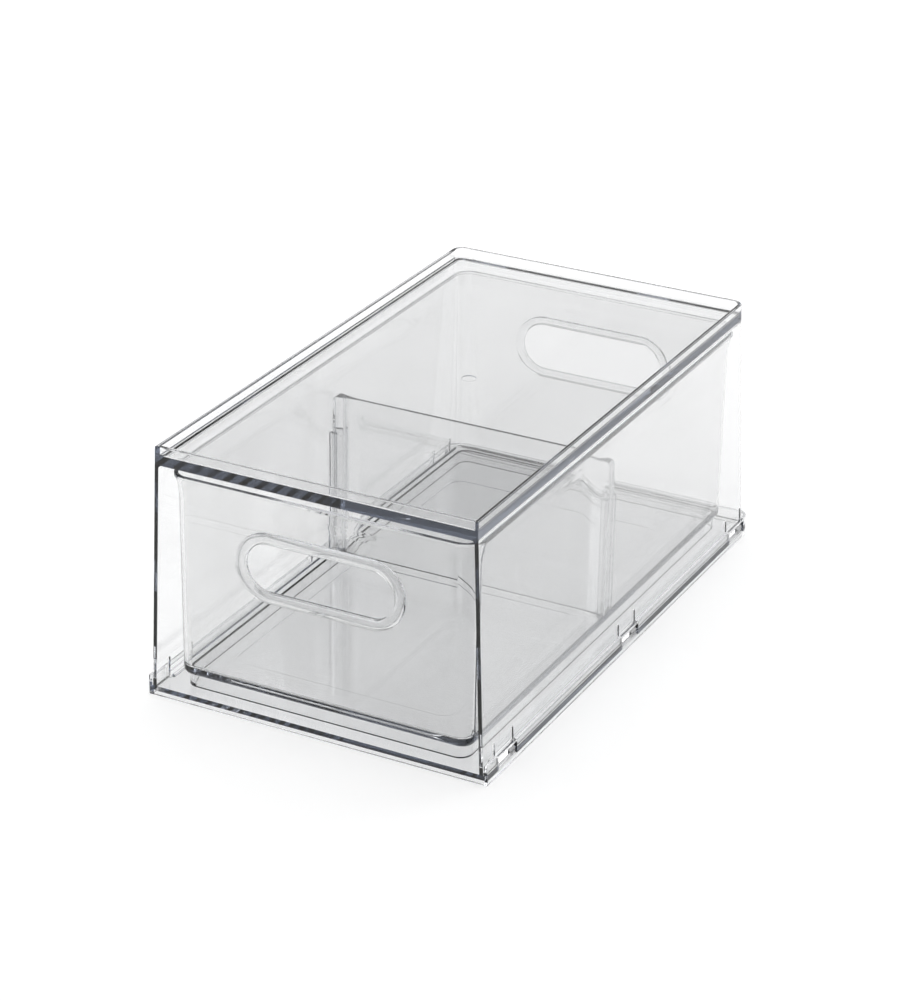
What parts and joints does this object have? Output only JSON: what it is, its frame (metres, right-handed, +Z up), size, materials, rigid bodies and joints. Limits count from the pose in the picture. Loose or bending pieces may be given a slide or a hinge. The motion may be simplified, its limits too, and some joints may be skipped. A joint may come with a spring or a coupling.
{
  "type": "fridge drawer organizer",
  "caption": "Clear stacking case with a snapped-on base tray, an open front, a pull-out bin with an oval grip at each end, and an upright divider that lifts out of its channels.",
  "frame": {"origin": "centre of the footprint on the surface it stands on", "axes": "+X to the right seen from the open front, +Y from the open front to the back wall, +Z up"},
  "size_m": [0.217, 0.3696, 0.1572],
  "materials": {
    "case_plastic": "clear, glossy moulded",
    "base_plastic": "clear, glossy moulded",
    "bin_plastic": "clear, glossy moulded",
    "divider_plastic": "clear, glossy moulded"
  },
  "bodies": {
    "case": {"case_shell": "case_plastic", "case_base": "base_plastic"},
    "drawer": {"drawer_bin": "bin_plastic"},
    "partition": {"divider": "divider_plastic"}
  },
  "joints": [
    {"name": "drawer_slide", "type": "slide", "parent": "case", "child": "drawer", "axis": [0, -1, 0], "range_m": [0, 0.27]},
    {"name": "divider_lift", "type": "slide", "parent": "drawer", "child": "partition", "axis": [0, 0, 1], "range_m": [0, 0.026]}
  ]
}
